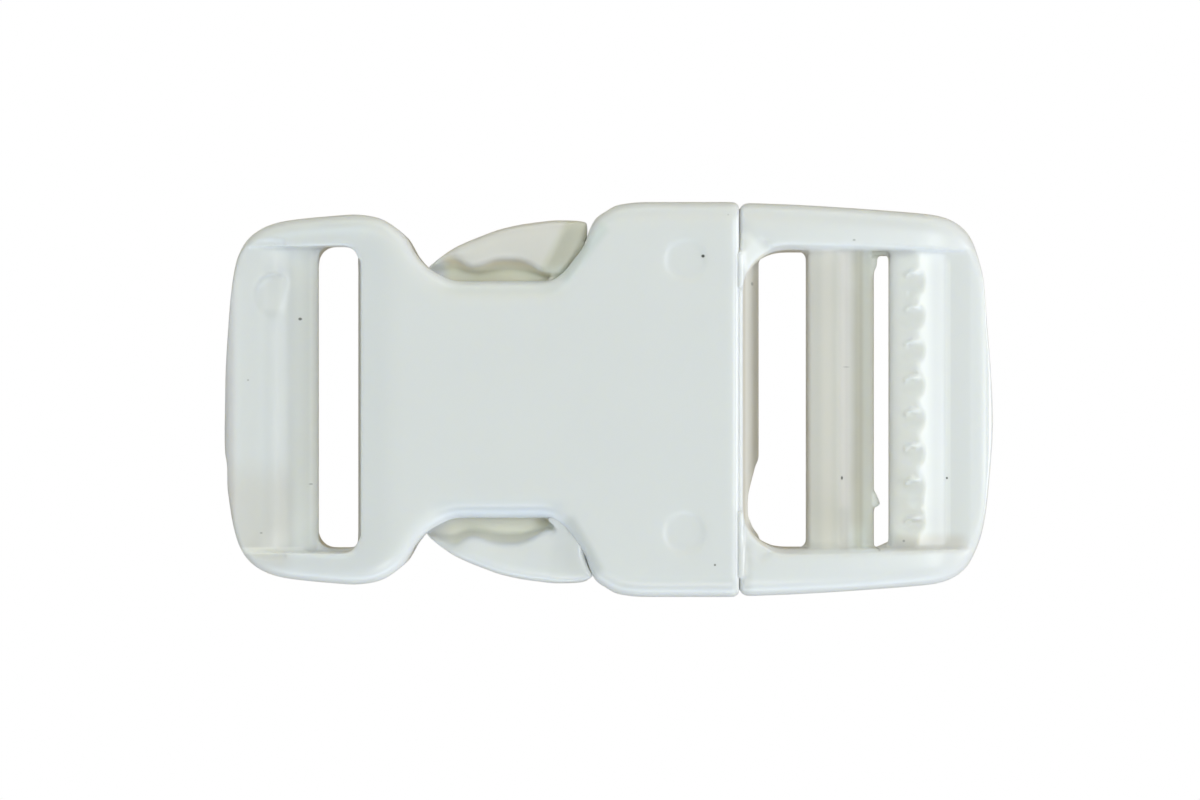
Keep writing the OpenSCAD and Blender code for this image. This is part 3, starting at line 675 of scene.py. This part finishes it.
def shapeBars(piece):  # the middle bar's crown, and the leaning bar's worn side and closed seam
    reach = plugDetail["crownReach"]
    combine(piece, block(plugDetail["crown"], -reach, reach, "Y"), "DIFFERENCE")
    combine(piece, block(plugDetail["leanCut"], under, plugDetail["leanCutTop"]), "DIFFERENCE")
    for outline, start, end in plugDetail["seamFill"]:
        combine(piece, block(outline, start, end, "Y"), "UNION")


def addTeethLips(piece):
    for y in plugDetail["toothLips"]:
        for (u, v, z), sizes, turn in plugDetail["lipParts"]:
            combine(piece, pebble((u, y + v, z), sizes, turn), "UNION")


def fillPads(piece):
    upper, lower = plugDetail["padFills"]
    fill = block(*upper)
    combine(fill, plane(*plugDetail["padFall"]), "DIFFERENCE")
    combine(piece, fill, "UNION")
    combine(piece, block(*lower), "UNION")


def plugSoftness(x, y, z):
    soft = plugDetail["soft"]
    if x > soft["frameStart"]:
        return ramp(z, *soft["frameHeight"]) * ramp(abs(y), *soft["frameSides"])
    return ramp(z, *soft["padHeight"]) * ramp(abs(y), *soft["padSides"]) * ramp(x, *soft["padRight"])


def buildPlug():
    piece = mergedCopy("plug", "plugShell")
    addCollar(piece)
    shapeOpening(piece)
    shapeBars(piece)
    for outline, low, high in plugDetail["flash"]:
        combine(piece, block(outline, low, high), "UNION")
    trimEnd(piece, plugDetail["frameEnd"], away)
    addTeethLips(piece)
    fillPads(piece)
    for place, sizes in plugDetail["dents"]:
        combine(piece, pebble(place, sizes), "DIFFERENCE")
    mouldedSkin(piece, plugDetail, plugSoftness)
    piece.data.materials.append(acetal("plugAcetal", plugDetail["paintedLightZones"], plugDetail["specks"]))
    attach(piece, "root")
    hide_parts("plug")


buildSocket()
print("socket is done")
buildPlug()
print("plug is done")


# Floor, light and camera

studio = {
    "floorRadius": 2.5,
    "floorWhite": 1.0,
    "floorBounce": (0.32, 0.27, 0.17),  # light that the floor throws back up
    "camera": (-0.82, -0.04, 410.4),
    "lens": 140,
    "sensor": 36,
    "clip": (0.01, 20),
    "softboxes": [  # name, place, size, power and colour of each, all aimed at the buckle
        ("lowRight", (0.985, 0.0, 0.174), (0.36, 0.36), 4.6, (0.96, 1.0, 1.04)),
        ("lowBack", (0.0, 0.985, 0.174), (1.3, 0.34), 2.55, (1.0, 1.0, 0.82)),
        ("lowLeft", (-0.985, 0.0, 0.174), (1.0, 0.34), 0.92, (0.7, 1.0, 1.3)),
        ("lowFront", (0.0, -0.985, 0.174), (1.3, 0.34), 5.2, (0.86, 1.0, 1.14)),
        ("midBack", (0.0, 0.866, 0.5), (1.2, 0.6), 1.16, (0.85, 1.0, 1.2)),
        ("midLeft", (-0.866, 0.0, 0.5), (0.8, 0.6), 1.12, (1.0, 0.86, 0.7)),
        ("highRight", (0.53, 0.0, 0.848), (0.26, 0.26), 2.1, (0.95, 1.0, 1.0)),
        ("highBack", (0.0, 0.53, 0.848), (0.36, 0.36), 0.34, (1.0, 0.49, 0.0)),
        ("highLeft", (-0.375, 0.375, 0.848), (0.36, 0.36), 1.73, (0.75, 1.0, 1.16)),
        ("highFront", (0.0, -0.53, 0.848), (0.28, 0.28), 1.6, (1.0, 0.96, 0.92)),
        ("overRight", (0.276, 0.0, 0.961), (0.36, 0.36), 0.6, (0.84, 1.0, 1.16)),
        ("overBack", (0.0, 0.276, 0.961), (0.36, 0.36), 0.57, (1.0, 0.75, 0.0)),
        ("overFront", (0.0, -0.276, 0.961), (0.36, 0.36), 0.36, (0.63, 1.0, 0.5)),
    ],
}


def buildFloor():  # white as the camera sees it, and tinted as the buckle does
    deselectAll()
    bpy.ops.mesh.primitive_circle_add(vertices=96, radius=studio["floorRadius"], fill_type="NGON",
                                      location=(0, 0, 0))
    floor = bpy.context.object
    floor.name = "studioFloor"
    material, tree = newMaterial("paleFloor")
    bounce = addNode(tree, "Emission", {"Color": (*studio["floorBounce"], 1), "Strength": 1.0})
    white = addNode(tree, "Emission", {"Color": (1, 1, 1, 1), "Strength": studio["floorWhite"]})
    path = addNode(tree, "LightPath")
    seen = addNode(tree, "MixShader", {0: path.outputs["Is Camera Ray"], 1: bounce.outputs[0],
                                       2: white.outputs[0]})
    addNode(tree, "OutputMaterial", {"Surface": seen.outputs[0]})
    floor.data.materials.append(material)


def addSoftbox(name, place, size, power, colour):
    data = bpy.data.lights.new(name, "AREA")
    data.shape = "RECTANGLE"
    data.size, data.size_y = size
    data.energy = power
    data.color = colour
    lamp = bpy.data.objects.new(name, data)
    lamp.location = place
    lamp.rotation_euler = (Vector() - Vector(place)).to_track_quat("-Z", "Y").to_euler()
    bpy.context.scene.collection.objects.link(lamp)


def buildLight():
    scene = bpy.context.scene
    scene.world = bpy.data.worlds.new("studioWorld")
    scene.world.use_nodes = True
    tree = scene.world.node_tree
    background = tree.nodes["Background"]
    background.inputs["Color"].default_value = (1, 1, 1, 1)
    path = addNode(tree, "LightPath")
    tree.links.new(path.outputs["Is Camera Ray"], background.inputs["Strength"])  # white, and it lights nothing
    for softbox in studio["softboxes"]:
        addSoftbox(*softbox)
    scene.view_settings.view_transform = "Standard"
    scene.view_settings.look = "None"


def buildCamera():
    data = bpy.data.cameras.new("photoCamera")
    data.sensor_width = studio["sensor"]
    data.lens = studio["lens"]
    data.clip_start, data.clip_end = studio["clip"]
    camera = bpy.data.objects.new("photoCamera", data)
    camera.location = mm(*studio["camera"])
    bpy.context.scene.collection.objects.link(camera)
    bpy.context.scene.camera = camera


buildFloor()
buildLight()
buildCamera()
print("studio is done")
